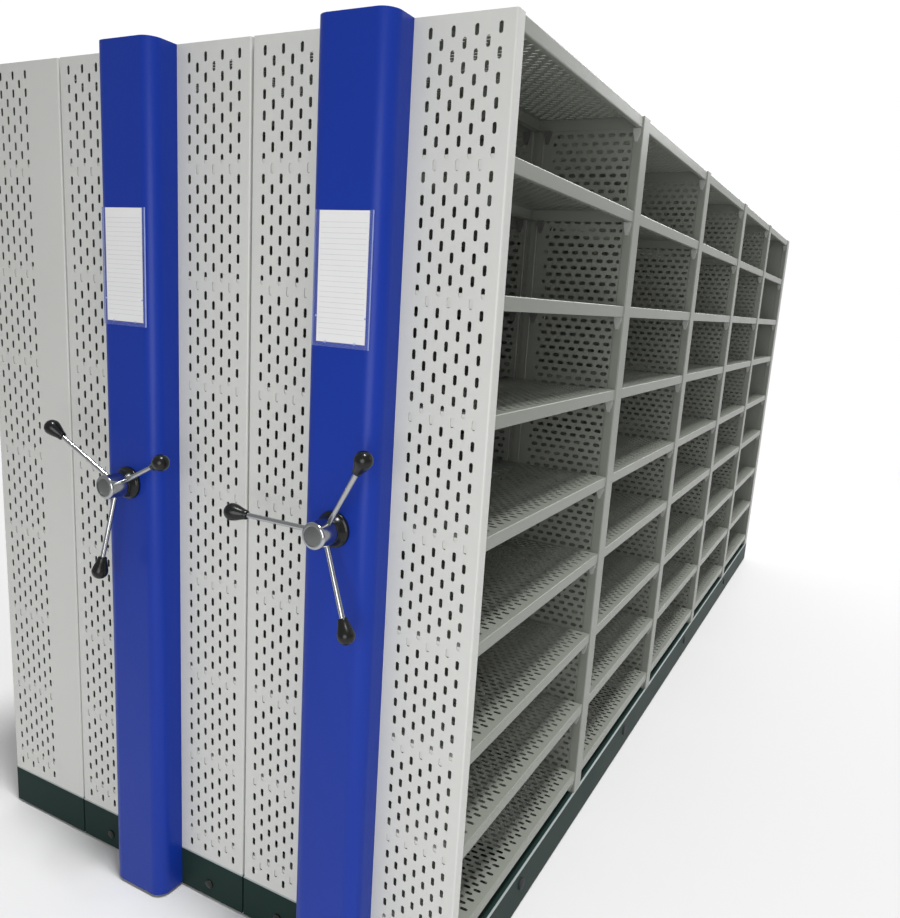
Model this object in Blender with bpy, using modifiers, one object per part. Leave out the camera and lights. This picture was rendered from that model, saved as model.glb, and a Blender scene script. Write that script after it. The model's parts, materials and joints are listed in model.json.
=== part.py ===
"""Mobile shelving compactor: a fixed end rack and two hand-cranked carriages that roll on floor rails.

+X is the way the carriages roll, +Y runs from the handles to the far end, +Z is up. Lengths are in metres.
"""

import math

import bmesh
import bpy
from mathutils import Euler, Matrix, Vector

# Clearances
SEAT_GAP = 0.0003           # between pieces that touch
WELD_DEPTH = 0.0007         # how far joined shapes run into each other

# Track
AISLE = 0.800               # clear width that one carriage can open
RAIL_COUNT = 4
RAIL_INSET = 0.450          # outer rails from the ends of the units
RAIL_HEIGHT = 0.020
RAIL_FOOT_WIDTH = 0.060
RAIL_FOOT_THICKNESS = 0.006
RAIL_HEAD_WIDTH = 0.022
RAIL_RUN_OUT = 0.100        # rail left past the last carriage at full travel

# Units
RACK_DEPTH = 0.3225         # one rack, front to back, so half a carriage
UNIT_GAP = 0.006            # between closed units
UNIT_HEIGHT = 2.256         # underside of the base to the top
BAY_COUNT = 5
BAY_PITCH = 0.900
FIRST_BAY_EXTRA = 0.012     # what the first bay gains at the front panel

# Bases
BASE_LIFT = 0.008           # rail head to the underside of the base
BASE_HEIGHT = 0.121
BASE_WALL = 0.003
BASE_FLANGE = 0.045
BEARING_PLATE = 0.008
BEARING_OFFSET = 0.040      # bearing plate behind its wheel
PLINTH_FOOT = 0.040

# Sheet metal
SHEET = 0.0015
PANEL_RETURN = 0.032
POST_FACE = 0.064
SHELF_LEVELS = 8
SHELF_LIP = 0.032
SHELF_INSET = 0.003         # shelf lip behind the face of the posts
BOTTOM_SHELF = 0.199        # top of the lowest shelf above the underside of the base
NOTCH = 0.0225              # step at which a shelf can hang
TOP_BAY = 0.250             # least height between the highest shelf and the top
TOP_DROP = 0.001            # top cover below the top of the posts
TOP_OPENING_DEPTH = 0.095   # one opening in a top cover, a coarse form of its slots, across the rack
TOP_OPENING_WIDTH = 0.044   # the same opening along the bay
TOP_MARGIN = 0.022          # least plain edge round them
TOP_BAR = 0.080             # plain metal between them

# Drive cover and card holder
COVER_WIDTH = 0.190
COVER_DEPTH = 0.080
COVER_CORNER = 0.036
COVER_FOOT = 0.002          # cover's lower edge above the underside of the base
HOLDER_WIDTH = 0.146
HOLDER_HEIGHT = 0.281
HOLDER_THICKNESS = 0.004
HOLDER_RIM = 0.004
HOLDER_SLOT = 0.0012
HOLDER_CENTRE = 1.7385      # above the underside of the base

# Handle
HANDLE_AXIS = 1.198         # above the underside of the base
HANDLE_ANGLES = {"left": 25.0, "right": 56.1}   # first rod above the +X direction, degrees
ROD_COUNT = 3
SHAFT_RADIUS = 0.010
BOSS_RADIUS = 0.042
BOSS_NOSE = 0.030
BOSS_HEIGHT = 0.026
HUB_RADIUS = 0.031
HUB_LENGTH = 0.051
HUB_CAP = 0.023
HUB_BORE = 0.020
HUB_BEVEL = 0.004
ROD_RADIUS = 0.006
ROD_SEAT = 0.010            # rod inside the hub
ROD_ROOT = 0.009            # where the rods' lines meet, in front of the back of the hub
ROD_LEAN = 11.0             # rods forward of square to the handle's axis, degrees
KNOB_START = 0.190          # inner end of the knob from where the rods' lines meet
KNOB_LENGTH = 0.058
KNOB_RADIUS = 0.020
KNOB_NECK = 0.011
KNOB_BORE = 0.020

# Wheels and drive
WHEEL_RADIUS = 0.050
WHEEL_WIDTH = 0.020
GUIDE_FLANGE = 0.006        # thickness and height of the guide wheel's flanges
GUIDE_PLAY = 0.001
AXLE_OFFSET = 0.202         # axles from the middle of the carriage
AXLE_OVERHANG = 0.020       # shaft past its last bearing plate
CHAIN_PITCH = 0.009525
CHAIN_WIDTH = 0.008
CHAIN_HEIGHT = 0.004
HANDLE_TEETH = 12
JACK_LARGE_TEETH = 24
JACK_SMALL_TEETH = 12
AXLE_TEETH = 18
TRANSFER_INSET = 0.026      # transfer chain behind the front of the base
SHAFT_END = 0.010           # shaft past its sprocket

# Facets
SHAFT_STEPS = 12
HANDLE_STEPS = 20
CORNER_STEPS = 8
CHAIN_STEPS = 12

# Heights and places worked out from the sizes above
AXLE_Z = RAIL_HEIGHT + SEAT_GAP + WHEEL_RADIUS
BASE_Z = RAIL_HEIGHT + BASE_LIFT
BODY_Z = BASE_Z + BASE_HEIGHT + SEAT_GAP
TOP_Z = BASE_Z + UNIT_HEIGHT
CARRIAGE_WIDTH = 2 * RACK_DEPTH
CARRIAGE_PITCH = CARRIAGE_WIDTH + UNIT_GAP
CARRIAGE_X = {"left": CARRIAGE_PITCH, "right": 2 * CARRIAGE_PITCH}
POST_Y = [FIRST_BAY_EXTRA + n * BAY_PITCH for n in range(BAY_COUNT + 1)]
REAR_PANEL_Y = POST_Y[-1] + POST_FACE / 2 + SEAT_GAP
UNIT_LENGTH = REAR_PANEL_Y + PANEL_RETURN
RAIL_PITCH = (UNIT_LENGTH - 2 * RAIL_INSET) / (RAIL_COUNT - 1)
RAIL_Y = [RAIL_INSET + n * RAIL_PITCH for n in range(RAIL_COUNT)]
RAIL_LENGTH = CARRIAGE_X["right"] + RACK_DEPTH + 2 * AISLE + RAIL_RUN_OUT
COVER_FRONT = -SEAT_GAP - COVER_DEPTH
BOSS_BACK = COVER_FRONT - SEAT_GAP
HUB_BACK = BOSS_BACK - BOSS_HEIGHT - SEAT_GAP
HUB_FRONT = HUB_BACK - HUB_LENGTH
ROD_Y = HUB_BACK - ROD_ROOT
KNOB_CENTRE = KNOB_START + KNOB_LENGTH - KNOB_RADIUS
KNOB_Y = ROD_Y - KNOB_CENTRE * math.sin(math.radians(ROD_LEAN))
CHAIN_Y = -SEAT_GAP - COVER_DEPTH / 2 - CHAIN_WIDTH / 2
PART_FRONT = min(HUB_FRONT, KNOB_Y - KNOB_RADIUS)
ORIGIN = Vector((-RAIL_LENGTH / 2, -(UNIT_LENGTH + PART_FRONT) / 2, 0))


def round_clearance(radius, steps):
    """Radius of a faceted hole that leaves the seat gap round a shaft of this radius."""
    return (radius + SEAT_GAP) / math.cos(math.pi / steps)


def sprocket_radius(teeth):
    return CHAIN_PITCH * teeth / math.tau


def shelf_heights():
    """Tops of the shelves: spread evenly, each hung on the next notch down."""
    top_notch = math.floor((UNIT_HEIGHT - TOP_BAY - BOTTOM_SHELF) / NOTCH)
    notches = [top_notch * k // (SHELF_LEVELS - 1) for k in range(SHELF_LEVELS)]
    return [BASE_Z + BOTTOM_SHELF + NOTCH * n for n in notches]


# Scene, materials and modelling helpers

def clear_scene():
    for obj in list(bpy.data.objects):
        bpy.data.objects.remove(obj)


def make_collection(name):
    collection = bpy.data.collections.new(name)
    bpy.context.scene.collection.children.link(collection)
    return collection


def make_material(name, colour, roughness, metallic=0.0, alpha=1.0):
    material = bpy.data.materials.new(name)
    material.use_nodes = True
    shader = material.node_tree.nodes["Principled BSDF"]
    shader.inputs["Base Color"].default_value = (*colour, 1.0)
    shader.inputs["Roughness"].default_value = roughness
    shader.inputs["Metallic"].default_value = metallic
    shader.inputs["Alpha"].default_value = alpha
    material.diffuse_color = (*colour, alpha)
    return material


def working(mesh):
    """A working object for a mesh, among the cutters, until its shape is taken with baked."""
    obj = bpy.data.objects.new(mesh.name, mesh)
    obj.hide_render = True
    obj.display_type = "WIRE"
    cutters.objects.link(obj)
    return obj


def baked(obj, *operands):
    """The evaluated mesh of a working object, which is removed together with its operands."""
    bpy.context.view_layer.update()
    graph = bpy.context.evaluated_depsgraph_get()
    mesh = bpy.data.meshes.new_from_object(obj.evaluated_get(graph))
    for item in (obj, *operands):
        bpy.data.objects.remove(item)
    shape = bmesh.new()
    shape.from_mesh(mesh)
    bmesh.ops.remove_doubles(shape, verts=shape.verts, dist=1e-6)
    shape.to_mesh(mesh)
    shape.free()
    return mesh


def combine(mesh, operation, operands):
    """One mesh with others joined to it (UNION) or cut from it (DIFFERENCE)."""
    obj = working(mesh)
    tools = [working(operand) for operand in operands]
    for tool in tools:
        modifier = obj.modifiers.new(operation.lower(), "BOOLEAN")
        modifier.operation = operation
        modifier.solver = "EXACT"
        modifier.object = tool
    return baked(obj, *tools)


def box(low, high):
    low = Vector(low)
    high = Vector(high)
    shape = bmesh.new()
    bmesh.ops.create_cube(shape, size=1.0)
    bmesh.ops.scale(shape, vec=high - low, verts=shape.verts)
    bmesh.ops.translate(shape, vec=(low + high) / 2, verts=shape.verts)
    mesh = bpy.data.meshes.new("box")
    shape.to_mesh(mesh)
    shape.free()
    return mesh


def extruded(loops, low, high):
    """Flat outlines in X and Y, the later ones being holes, filled and extruded from z low to z high."""
    curve = bpy.data.curves.new("outline", "CURVE")
    curve.dimensions = "2D"
    curve.fill_mode = "BOTH"
    curve.extrude = (high - low) / 2
    for loop in loops:
        spline = curve.splines.new("POLY")
        spline.points.add(len(loop) - 1)
        for point, (x, y) in zip(spline.points, loop):
            point.co = (x, y, 0, 1)
        spline.use_cyclic_u = True
    mesh = baked(working(curve))
    shift(mesh, (0, 0, (low + high) / 2))
    return mesh


def turned(profile, steps, closed=False):
    """Points (radius, height), given down the outer side, turned about Z and shaded smooth."""
    count = len(profile)
    edges = [(n, n + 1) for n in range(count - 1)]
    if closed:
        edges.append((count - 1, 0))
    line = bpy.data.meshes.new("profile")
    line.from_pydata([(r, 0, z) for r, z in profile], edges, [])
    obj = working(line)
    screw = obj.modifiers.new("turn", "SCREW")
    screw.steps = steps
    screw.render_steps = steps
    screw.use_merge_vertices = True
    screw.merge_threshold = 1e-5
    mesh = baked(obj)
    mesh.shade_smooth()
    mesh.set_sharp_from_angle(angle=math.radians(35))
    return mesh


def stepped(sections, steps):
    """A stepped shaft from (start, end, radius) sections in rising order, along Z."""
    profile = [(0, sections[-1][1])]
    for start, end, radius in reversed(sections):
        profile += [(radius, end), (radius, start)]
    profile.append((0, sections[0][0]))
    return turned(profile, steps)


def shift(mesh, offset):
    for vertex in mesh.vertices:
        vertex.co += Vector(offset)


def swap_axes(mesh, order):
    """Renames the axes of a mesh in a cycle, so that its new X, Y, Z are the old ones in this order."""
    for vertex in mesh.vertices:
        vertex.co = Vector([vertex.co["XYZ".index(axis)] for axis in order])


def along_y(mesh):
    """A mesh made along Z, laid along Y."""
    swap_axes(mesh, "YZX")
    return mesh


def along_x(mesh):
    """A mesh made along Z, laid along X."""
    swap_axes(mesh, "ZXY")
    return mesh


def empty(name, parent, location):
    holder = bpy.data.objects.new(name, None)
    holder.empty_display_size = 0.1
    holder.parent = parent
    holder.location = location
    parts.objects.link(holder)
    return holder


def place(name, mesh, material, parent, location=(0, 0, 0), turn=(0, 0, 0)):
    obj = bpy.data.objects.new(name, mesh)
    obj.parent = parent
    obj.location = location
    obj.rotation_euler = turn
    if not mesh.materials:
        mesh.materials.append(material)
    parts.objects.link(obj)
    return obj


# Track

def rail_mesh():
    foot = RAIL_FOOT_WIDTH / 2
    head = RAIL_HEAD_WIDTH / 2
    shoulder = RAIL_FOOT_THICKNESS
    outline = [(-foot, 0), (foot, 0), (foot, shoulder), (head, shoulder), (head, RAIL_HEIGHT),
               (-head, RAIL_HEIGHT), (-head, shoulder), (-foot, shoulder)]
    return along_x(extruded([outline], 0, RAIL_LENGTH))


def build_track(root):
    mesh = rail_mesh()
    for number, y in enumerate(RAIL_Y, 1):
        place(f"track_rail_{number}", mesh, steel, root, (0, y, 0))


# Bases

def open_frame(half_width):
    """A flanged frame, open above and below: a box with a pocket from below and a window in its top."""
    outer = box((-half_width, 0, BASE_Z), (half_width, UNIT_LENGTH, BASE_Z + BASE_HEIGHT))
    inside = half_width - BASE_WALL
    pocket = box((-inside, BASE_WALL, BASE_Z - BASE_LIFT),
                 (inside, UNIT_LENGTH - BASE_WALL, BASE_Z + BASE_HEIGHT - BASE_WALL))
    window_x = half_width - BASE_FLANGE
    window = box((-window_x, BASE_FLANGE, BASE_Z),
                 (window_x, UNIT_LENGTH - BASE_FLANGE, BASE_Z + BASE_HEIGHT + BASE_LIFT))
    return combine(outer, "DIFFERENCE", [pocket, window])


def cross_plates(half_width, middles, thickness, low):
    """Plates across the frame, let into its walls and its top flange."""
    reach = half_width - BASE_WALL + WELD_DEPTH
    high = BASE_Z + BASE_HEIGHT - BASE_WALL + WELD_DEPTH
    return [box((-reach, y - thickness / 2, low), (reach, y + thickness / 2, high)) for y in middles]


def bearing_y():
    return [y + BEARING_OFFSET for y in RAIL_Y]


def shaft_hole(x, start, end):
    radius = round_clearance(SHAFT_RADIUS, SHAFT_STEPS)
    mesh = along_y(stepped([(start, end, radius)], SHAFT_STEPS))
    shift(mesh, (x, 0, AXLE_Z))
    return mesh


def base_frame_mesh():
    plates = cross_plates(RACK_DEPTH, bearing_y(), BEARING_PLATE, BASE_Z + BASE_WALL)
    frame = combine(open_frame(RACK_DEPTH), "UNION", plates)
    behind_skirt = BASE_WALL + TRANSFER_INSET
    holes = [shaft_hole(x, behind_skirt, UNIT_LENGTH - behind_skirt) for x in (-AXLE_OFFSET, AXLE_OFFSET)]
    holes.append(shaft_hole(0, -BASE_WALL, behind_skirt))
    return combine(frame, "DIFFERENCE", holes)


def plinth_mesh():
    feet = cross_plates(RACK_DEPTH / 2, RAIL_Y, PLINTH_FOOT, RAIL_HEIGHT + SEAT_GAP)
    return combine(open_frame(RACK_DEPTH / 2), "UNION", feet)


# Panels, dividers and shelves

def panel_mesh(half_width):
    """An end panel with folded sides, its face at y = 0 and its returns towards +Y."""
    outer = half_width
    inner = half_width - SHEET
    outline = [(-outer, 0), (outer, 0), (outer, PANEL_RETURN), (inner, PANEL_RETURN), (inner, SHEET),
               (-inner, SHEET), (-inner, PANEL_RETURN), (-outer, PANEL_RETURN)]
    top_fold = box((-inner - WELD_DEPTH, WELD_DEPTH, TOP_Z - SHEET), (inner + WELD_DEPTH, PANEL_RETURN, TOP_Z))
    return combine(extruded([outline], BODY_Z, TOP_Z), "UNION", [top_fold])


def rear_panel_mesh(half_width):
    """The same panel turned about, so that its returns point forward from the end of the unit."""
    mesh = panel_mesh(half_width)
    for vertex in mesh.vertices:
        vertex.co.xy = -vertex.co.xy
    shift(mesh, (0, UNIT_LENGTH, 0))
    return mesh


def divider_mesh(half_width):
    """A hollow divider about the post line at y = 0: a sheet on each side between folded posts."""
    loops = []
    for wall in (0, SHEET):
        x = half_width - wall
        y = POST_FACE / 2 - wall
        loops.append([(-x, -y), (x, -y), (x, y), (-x, y)])
    return extruded(loops, BODY_Z, TOP_Z)


def divider_cap_mesh(half_width):
    """A strip that closes the top of a divider, level with the top covers."""
    x = half_width - SHEET + WELD_DEPTH
    y = POST_FACE / 2 - SHEET + WELD_DEPTH
    top = TOP_Z - TOP_DROP
    return box((-x, -y, top - SHEET), (x, y, top))


def tray_mesh(half_width, racks, top, start, end):
    """A tray, or two back to back with a web between them, upside down: a plate with lips below."""
    outer = half_width - SHELF_INSET
    inner = outer - SHEET
    low = top - SHELF_LIP
    under = top - SHEET
    web = [(SHEET, under), (SHEET, low), (-SHEET, low), (-SHEET, under)] if racks > 1 else []
    outline = [(-outer, top), (-outer, low), (-inner, low), (-inner, under), *reversed(web),
               (inner, under), (inner, low), (outer, low), (outer, top)]
    return along_y(extruded([[(z, x) for x, z in outline]], start, end))


def opening_spans(low, high, size):
    """Where openings of one size begin and end along a cover: as many as fit between its plain edges."""
    pitch = size + TOP_BAR
    count = math.floor((high - low - 2 * TOP_MARGIN + TOP_BAR) / pitch)
    first = (low + high + TOP_BAR - count * pitch) / 2
    return [(first + n * pitch, first + n * pitch + size) for n in range(count)]


def top_cover_mesh(half_width, racks, start, end):
    """The tray that covers a bay, with a grid of openings in each rack."""
    top = TOP_Z - TOP_DROP
    outer = half_width - SHELF_INSET
    sides = [(-outer, -SHEET), (SHEET, outer)] if racks > 1 else [(-outer, outer)]
    openings = []
    for side in sides:
        for x_low, x_high in opening_spans(*side, TOP_OPENING_DEPTH):
            for y_low, y_high in opening_spans(start, end, TOP_OPENING_WIDTH):
                openings.append(box((x_low, y_low, top - SHELF_LIP), (x_high, y_high, top + SHELF_LIP)))
    return combine(tray_mesh(half_width, racks, top, start, end), "DIFFERENCE", openings)


def back_sheet_mesh(half_width, start, end):
    """The plain sheet that closes a bay of the fixed rack, behind the back lips of its trays."""
    front = SHELF_INSET + WELD_DEPTH - half_width
    return box((front - SHEET, start, BODY_Z), (front, end, TOP_Z - TOP_DROP - SHEET))


def bay_mesh(racks, start):
    """All trays of one bay and the divider at its far end, about that divider's post line."""
    half_width = RACK_DEPTH * racks / 2
    end = -POST_FACE / 2 + WELD_DEPTH
    trays = [tray_mesh(half_width, racks, top, start, end) for top in shelf_heights()]
    trays.append(top_cover_mesh(half_width, racks, start, end))
    backs = [back_sheet_mesh(half_width, start, end)] if racks == 1 else []
    return combine(divider_mesh(half_width), "UNION", [divider_cap_mesh(half_width), *trays, *backs])


def build_rack(prefix, racks, holder):
    """The end panels and the bays of one unit."""
    half_width = RACK_DEPTH * racks / 2
    place(f"{prefix}_front_panel", panel_mesh(half_width), grey_paint, holder)
    place(f"{prefix}_rear_panel", rear_panel_mesh(half_width), grey_paint, holder)
    first = bay_mesh(racks, PANEL_RETURN + SEAT_GAP - POST_Y[1])
    other = bay_mesh(racks, POST_FACE / 2 + SEAT_GAP - BAY_PITCH)
    for number in range(1, BAY_COUNT + 1):
        mesh = first if number == 1 else other
        place(f"{prefix}_bay_{number}", mesh, grey_paint, holder, (0, POST_Y[number], 0))


# Drive cover and card holder

def cover_outline(wall):
    """The cover's plan, drawn in by the wall, with round front corners and an open back."""
    half = COVER_WIDTH / 2 - wall
    radius = COVER_CORNER - wall
    back = -SEAT_GAP + (BASE_WALL if wall else 0)
    front = COVER_FRONT + wall
    points = [(half, back)]
    for side, start in ((1, 0.0), (-1, -math.pi / 2)):
        for n in range(CORNER_STEPS + 1):
            angle = start - n / CORNER_STEPS * math.pi / 2
            points.append((side * (half - radius) + radius * math.cos(angle),
                           front + radius + radius * math.sin(angle)))
    points.append((-half, back))
    return points[::-1]


def cover_mesh():
    low = BASE_Z + COVER_FOOT
    solid = extruded([cover_outline(0)], low, TOP_Z)
    hollow = extruded([cover_outline(SHEET)], low - BASE_LIFT, TOP_Z - SHEET)
    hole = stepped([(COVER_FRONT - SHEET, COVER_FRONT + 2 * SHEET,
                     round_clearance(SHAFT_RADIUS, SHAFT_STEPS))], SHAFT_STEPS)
    along_y(hole)
    shift(hole, (0, 0, BASE_Z + HANDLE_AXIS))
    return combine(solid, "DIFFERENCE", [hollow, hole])


def holder_mesh():
    """A clear pocket on the face of the cover, open at the top for the index card."""
    back = BOSS_BACK
    middle = back - HOLDER_THICKNESS / 2
    low = BASE_Z + HOLDER_CENTRE - HOLDER_HEIGHT / 2
    high = low + HOLDER_HEIGHT
    half = HOLDER_WIDTH / 2
    body = box((-half, back - HOLDER_THICKNESS, low), (half, back, high))
    slot = box((HOLDER_RIM - half, middle - HOLDER_SLOT / 2, low + HOLDER_RIM),
               (half - HOLDER_RIM, middle + HOLDER_SLOT / 2, high + HOLDER_RIM))
    return combine(body, "DIFFERENCE", [slot])


# Handle

def boss_mesh():
    bore = round_clearance(SHAFT_RADIUS, HANDLE_STEPS)
    front = BOSS_BACK - BOSS_HEIGHT
    shoulder = BOSS_BACK - BOSS_HEIGHT / 3
    profile = [(bore, BOSS_BACK), (BOSS_RADIUS, BOSS_BACK), (BOSS_RADIUS, shoulder),
               (BOSS_NOSE, front), (bore, front)]
    return along_y(turned(profile, HANDLE_STEPS, closed=True))


def rod_turn(angle):
    """Turns a rod made along Z to its angle above +X, leaning forward of the hub."""
    return Euler((math.radians(ROD_LEAN), math.pi / 2 - angle, 0))


def rod_hole(angle):
    """A hole in the hub for a rod, with the rod's seat as its floor."""
    radius = round_clearance(ROD_RADIUS, SHAFT_STEPS)
    mesh = stepped([(HUB_RADIUS - ROD_SEAT, HUB_RADIUS + ROD_SEAT, radius)], SHAFT_STEPS)
    mesh.transform(Matrix.LocRotScale(Vector((0, ROD_Y, 0)), rod_turn(angle), None))
    return mesh


def hub_mesh(angles):
    bore = round_clearance(SHAFT_RADIUS, HANDLE_STEPS)
    floor = HUB_BACK - HUB_BORE
    profile = [(0, floor), (bore, floor), (bore, HUB_BACK), (HUB_RADIUS - HUB_BEVEL, HUB_BACK),
               (HUB_RADIUS, HUB_BACK - HUB_BEVEL), (HUB_RADIUS, HUB_FRONT + 2 * HUB_BEVEL),
               (HUB_CAP, HUB_FRONT), (0, HUB_FRONT)]
    hub = along_y(turned(profile, HANDLE_STEPS))
    return combine(hub, "DIFFERENCE", [rod_hole(angle) for angle in angles])


def rod_mesh():
    start = HUB_RADIUS - ROD_SEAT + SEAT_GAP
    end = KNOB_START + KNOB_BORE - SEAT_GAP
    return stepped([(start, end, ROD_RADIUS)], SHAFT_STEPS)


def knob_mesh():
    """A pear-shaped knob on its rod's axis: a round outer end, then a taper to the neck, bored for the rod."""
    round_end = math.radians(105)
    arc = [round_end * n / CORNER_STEPS for n in range(CORNER_STEPS + 1)]
    profile = [(KNOB_RADIUS * math.sin(a), KNOB_CENTRE + KNOB_RADIUS * math.cos(a)) for a in arc]
    bore = round_clearance(ROD_RADIUS, SHAFT_STEPS)
    floor = KNOB_START + KNOB_BORE
    profile += [(KNOB_NECK, KNOB_START), (bore, KNOB_START), (bore, floor), (0, floor)]
    return turned(profile, SHAFT_STEPS)


def handle_shaft_mesh():
    front = HUB_BACK - HUB_BORE + SEAT_GAP
    sprocket = (CHAIN_Y, CHAIN_Y + CHAIN_WIDTH, sprocket_radius(HANDLE_TEETH))
    sections = [(front, sprocket[0], SHAFT_RADIUS), sprocket,
                (sprocket[1], sprocket[1] + SHAFT_END, SHAFT_RADIUS)]
    return along_y(stepped(sections, SHAFT_STEPS))


def build_handle(prefix, carriage):
    axis = empty(f"{prefix}_handle_axis", carriage, (0, 0, BASE_Z + HANDLE_AXIS))
    first = math.radians(HANDLE_ANGLES[prefix])
    angles = [first + n * math.tau / ROD_COUNT for n in range(ROD_COUNT)]
    place(f"{prefix}_handle_shaft", handle_shaft_mesh(), steel, axis)
    place(f"{prefix}_handle_hub", hub_mesh(angles), chrome, axis)
    rod = rod_mesh()
    knob = knob_mesh()
    for number, angle in enumerate(angles, 1):
        turn = rod_turn(angle)
        place(f"{prefix}_handle_rod_{number}", rod, chrome, axis, (0, ROD_Y, 0), turn)
        place(f"{prefix}_knob_{number}", knob, black_plastic, axis, (0, ROD_Y, 0), turn)


# Wheels and drive

def wheel_sections(rail_y, guide):
    """A plain wheel, or on the guide rail one with a flange on each side of the rail's head."""
    half = RAIL_HEAD_WIDTH / 2 + GUIDE_PLAY if guide else WHEEL_WIDTH / 2
    tread = [(rail_y - half, rail_y + half, WHEEL_RADIUS)]
    if not guide:
        return tread
    rim = WHEEL_RADIUS + GUIDE_FLANGE
    return [(rail_y - half - GUIDE_FLANGE, rail_y - half, rim), *tread,
            (rail_y + half, rail_y + half + GUIDE_FLANGE, rim)]


def wheelset_mesh(start, sprockets):
    """A line shaft from start to past its last bearing, with a wheel over every rail."""
    solids = list(sprockets)
    for number, y in enumerate(RAIL_Y):
        solids += wheel_sections(y, guide=number == 0)
    sections = []
    reached = start
    for section in solids:
        if section[0] > reached:
            sections.append((reached, section[0], SHAFT_RADIUS))
        sections.append(section)
        reached = section[1]
    end = bearing_y()[-1] + BEARING_PLATE / 2 + AXLE_OVERHANG
    sections.append((reached, end, SHAFT_RADIUS))
    return along_y(stepped(sections, SHAFT_STEPS))


def jackshaft_mesh():
    large = (CHAIN_Y, CHAIN_Y + CHAIN_WIDTH, sprocket_radius(JACK_LARGE_TEETH))
    small = (TRANSFER_INSET, TRANSFER_INSET + CHAIN_WIDTH, sprocket_radius(JACK_SMALL_TEETH))
    sections = [(large[0] - SHAFT_END, large[0], SHAFT_RADIUS), large, (large[1], small[0], SHAFT_RADIUS),
                small, (small[1], small[1] + SHAFT_END, SHAFT_RADIUS)]
    return along_y(stepped(sections, SHAFT_STEPS))


def loop_outline(near, near_radius, far, far_radius):
    """A belt line round two circles: their outer tangents and the arcs between them."""
    way = Vector(far) - Vector(near)
    heading = math.atan2(way.y, way.x)
    spread = math.acos((near_radius - far_radius) / way.length)
    points = []
    for centre, radius, start, sweep in ((far, far_radius, heading - spread, 2 * spread),
                                         (near, near_radius, heading + spread, math.tau - 2 * spread)):
        for n in range(CHAIN_STEPS + 1):
            angle = start + sweep * n / CHAIN_STEPS
            points.append((centre[0] + radius * math.cos(angle), centre[1] + radius * math.sin(angle)))
    return points


def chain_mesh(near, near_teeth, far, far_teeth, y):
    """A chain's band in the X and Z plane, from y to y plus its width."""
    loops = []
    for grow in (CHAIN_HEIGHT, 0.0):
        radii = [round_clearance(sprocket_radius(teeth), CHAIN_STEPS) + grow for teeth in (near_teeth, far_teeth)]
        outline = loop_outline(near, radii[0], far, radii[1])
        loops.append([(z, x) for x, z in outline])
    return along_y(extruded(loops, y, y + CHAIN_WIDTH))


def build_drive(prefix, carriage):
    handle_at = (0, BASE_Z + HANDLE_AXIS)
    jack_at = (0, AXLE_Z)
    axle_at = (AXLE_OFFSET, AXLE_Z)
    place(f"{prefix}_drive_chain",
          chain_mesh(jack_at, JACK_LARGE_TEETH, handle_at, HANDLE_TEETH, CHAIN_Y), dark_steel, carriage)
    place(f"{prefix}_transfer_chain",
          chain_mesh(jack_at, JACK_SMALL_TEETH, axle_at, AXLE_TEETH, TRANSFER_INSET), dark_steel, carriage)
    jack_axis = empty(f"{prefix}_jack_axis", carriage, (0, 0, AXLE_Z))
    place(f"{prefix}_jackshaft", jackshaft_mesh(), steel, jack_axis)
    sprocket = (TRANSFER_INSET, TRANSFER_INSET + CHAIN_WIDTH, sprocket_radius(AXLE_TEETH))
    drive = wheelset_mesh(TRANSFER_INSET - SHAFT_END, [sprocket])
    drive_axis = empty(f"{prefix}_drive_axis", carriage, (AXLE_OFFSET, 0, AXLE_Z))
    place(f"{prefix}_drive_wheelset", drive, steel, drive_axis)
    idle = wheelset_mesh(RAIL_Y[0] - BEARING_OFFSET, [])
    idle_axis = empty(f"{prefix}_idle_axis", carriage, (-AXLE_OFFSET, 0, AXLE_Z))
    place(f"{prefix}_idle_wheelset", idle, steel, idle_axis)


# Units

def build_static(root):
    holder = empty("static_unit", root, (RACK_DEPTH / 2, 0, 0))
    place("static_plinth", plinth_mesh(), base_paint, holder)
    build_rack("static", 1, holder)


def build_carriage(prefix, root):
    carriage = empty(f"{prefix}_carriage", root, (CARRIAGE_X[prefix], 0, 0))
    place(f"{prefix}_base_frame", base_frame_mesh(), base_paint, carriage)
    build_rack(prefix, 2, carriage)
    place(f"{prefix}_drive_cover", cover_mesh(), blue_paint, carriage)
    place(f"{prefix}_card_holder", holder_mesh(), clear_plastic, carriage)
    boss_at = (0, 0, BASE_Z + HANDLE_AXIS)
    place(f"{prefix}_handle_boss", boss_mesh(), black_plastic, carriage, boss_at)
    build_handle(prefix, carriage)
    build_drive(prefix, carriage)


clear_scene()
parts = make_collection("mobile_shelving_compactor")
cutters = make_collection("cutters")
grey_paint = make_material("grey_paint", (0.60, 0.60, 0.57), 0.45)
blue_paint = make_material("blue_paint", (0.02, 0.03, 0.26), 0.30)
base_paint = make_material("base_paint", (0.03, 0.05, 0.05), 0.50)
steel = make_material("steel", (0.45, 0.45, 0.46), 0.35, 1.0)
dark_steel = make_material("dark_steel", (0.12, 0.12, 0.12), 0.45, 1.0)
chrome = make_material("chrome", (0.80, 0.80, 0.82), 0.12, 1.0)
black_plastic = make_material("black_plastic", (0.012, 0.012, 0.013), 0.35)
clear_plastic = make_material("clear_plastic", (0.85, 0.88, 0.92), 0.08, 0.0, 0.3)
origin = empty("compactor", None, ORIGIN)
build_track(origin)
build_static(origin)
for side in CARRIAGE_X:
    build_carriage(side, origin)
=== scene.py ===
"""The looks of the mobile shelving compactor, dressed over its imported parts.

Pieces take their places from the boxes of the parts that they stand for or sit on. Lengths are in metres.
"""

import json
import math

import bpy
import numpy as np
from mathutils import Matrix, Vector

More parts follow.
